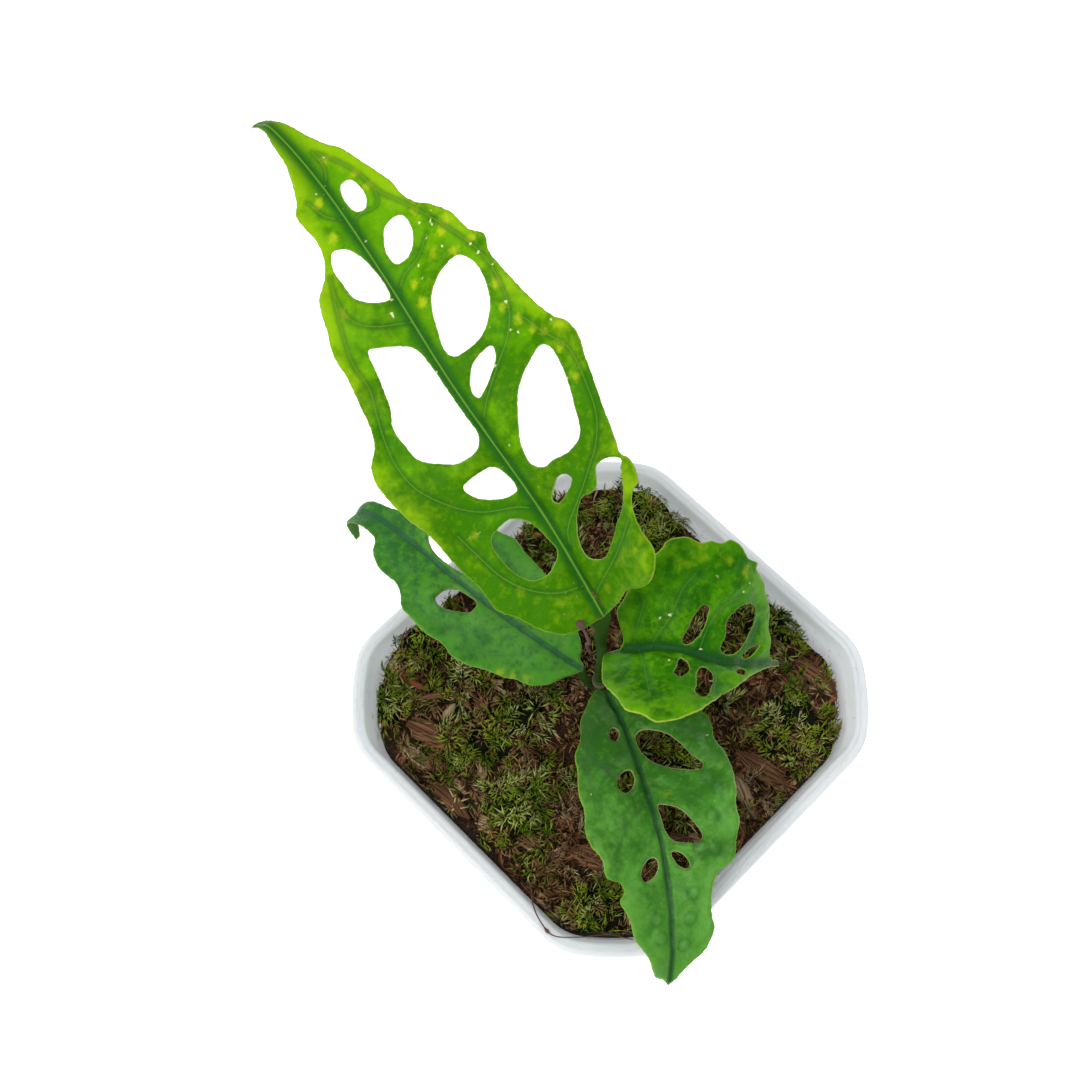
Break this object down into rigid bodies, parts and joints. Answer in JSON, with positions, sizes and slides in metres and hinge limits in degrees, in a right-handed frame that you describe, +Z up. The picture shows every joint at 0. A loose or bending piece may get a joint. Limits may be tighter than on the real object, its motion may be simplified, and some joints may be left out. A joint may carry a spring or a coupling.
{
  "type": "potted monstera obliqua",
  "caption": "Young potted monstera obliqua: holed leaves on thin petioles from a short stem, in a square white nursery pot filled with growing mix, moss and coco husk",
  "frame": {"origin": "Middle of the underside of the pot, on the surface that it stands on", "axes": "+Z up; X and Y square to the flat sides of the pot. The large leaf points along +Y"},
  "size_m": [0.1, 0.1817, 0.1797],
  "materials": {
    "pot": "satin",
    "mix": "matte",
    "husk": "matte",
    "pale_husk": "matte",
    "red_stick": "matte",
    "moss": "matte",
    "leaf_bright": "satin",
    "leaf_mid": "satin",
    "leaf_dark": "satin",
    "stem": "satin",
    "dried": "matte"
  },
  "bodies": {
    "root": {"pot": "pot", "growing_mix": "mix", "moss_left": "moss", "moss_middle": "moss", "moss_near": "moss", "moss_corner": "moss", "moss_under_leaf": "moss", "moss_right": "moss", "moss_wall": "moss", "moss_back": "moss", "moss_top": "moss", "husk_chip_1": "husk", "husk_chip_2": "pale_husk", "husk_chip_3": "husk", "husk_chip_4": "husk", "husk_chip_5": "husk", "husk_chip_6": "husk", "husk_chip_7": "pale_husk", "husk_chip_8": "husk", "husk_chip_9": "husk", "husk_chip_10": "husk", "husk_chip_11": "husk", "red_stick": "red_stick", "pale_stick": "pale_husk", "old_root": "husk", "stem": "stem", "leaf_large": "leaf_bright", "leaf_left": "leaf_dark", "leaf_folded": "leaf_mid", "leaf_front": "leaf_dark", "dried_sheath": "dried"}
  },
  "joints": []
}
